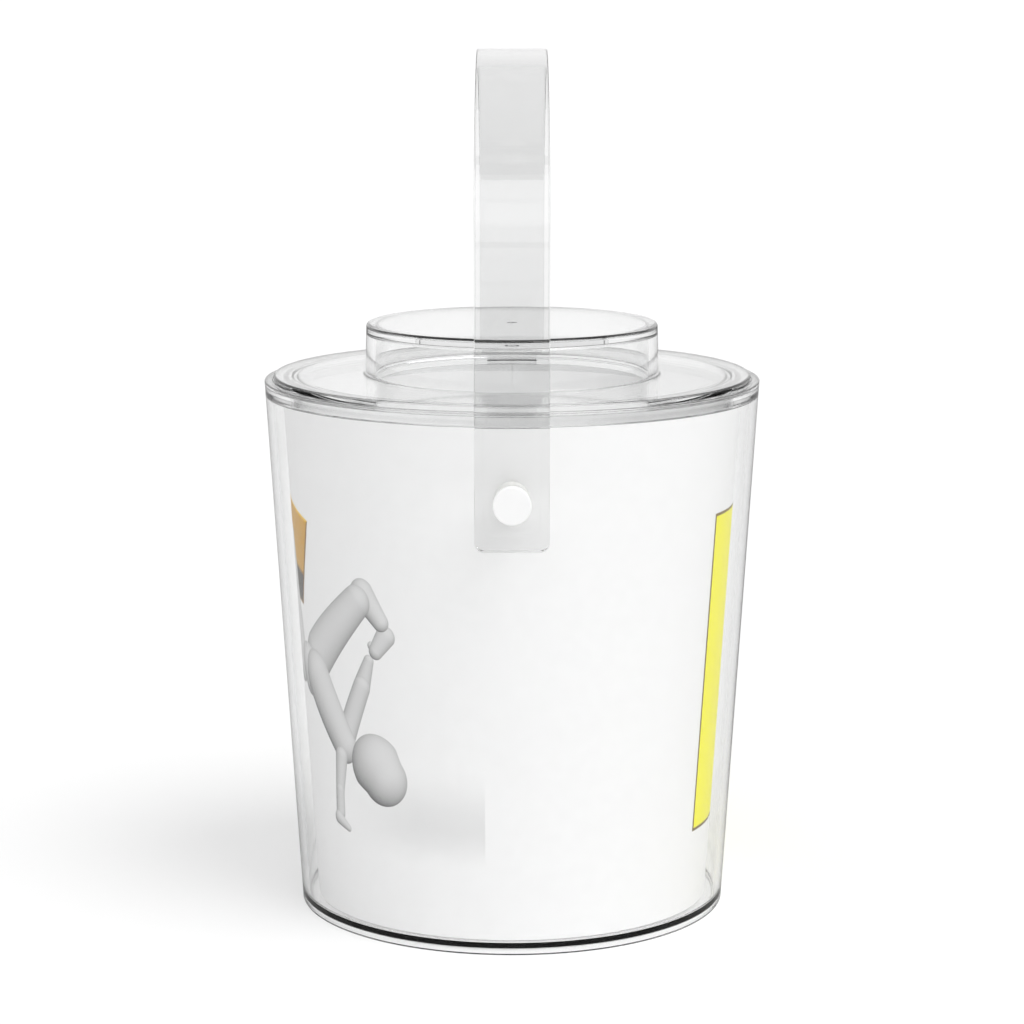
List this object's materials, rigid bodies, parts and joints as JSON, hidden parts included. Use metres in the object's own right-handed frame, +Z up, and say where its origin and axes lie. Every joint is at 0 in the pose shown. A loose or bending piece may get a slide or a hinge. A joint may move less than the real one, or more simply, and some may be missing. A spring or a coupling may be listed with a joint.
{
  "type": "ice bucket",
  "caption": "Clear tapered double-wall ice bucket with a printed card between its walls, a lift-off lid with a raised hollow grip, and a flat-strip bail handle.",
  "frame": {"origin": "centre of the foot ring, on the table", "axes": "+Z up, +Y from the front pivot to the rear pivot (the handle's hinge axis), +X to the right seen from the front"},
  "size_m": [0.178, 0.207, 0.3092],
  "materials": {
    "clear_acrylic": "clear, polished",
    "clear_lid": "clear, polished",
    "clear_handle": "clear, polished",
    "printed_card": "matt white card, printed in colour",
    "white_nylon": "satin white",
    "white_cap": "smooth white"
  },
  "bodies": {
    "bucket": {"outer_shell": "clear_acrylic", "inner_liner": "clear_acrylic", "printed_card": "printed_card", "front_pivot_pin": "white_nylon", "front_spacer": "white_nylon", "front_washer": "white_nylon", "front_pivot_cap": "white_cap", "rear_pivot_pin": "white_nylon", "rear_spacer": "white_nylon", "rear_washer": "white_nylon", "rear_pivot_cap": "white_cap"},
    "lid": {"lid": "clear_lid"},
    "handle": {"handle": "clear_handle"}
  },
  "joints": [
    {"name": "handle_swing", "type": "hinge", "parent": "bucket", "child": "handle", "pos_m": [0, 0, 0.163], "axis": [0, 1, 0], "range_deg": [-138, 138]},
    {"name": "lid_lift", "type": "slide", "parent": "bucket", "child": "lid", "axis": [0, 0, 1], "range_m": [0, 0.07]}
  ]
}
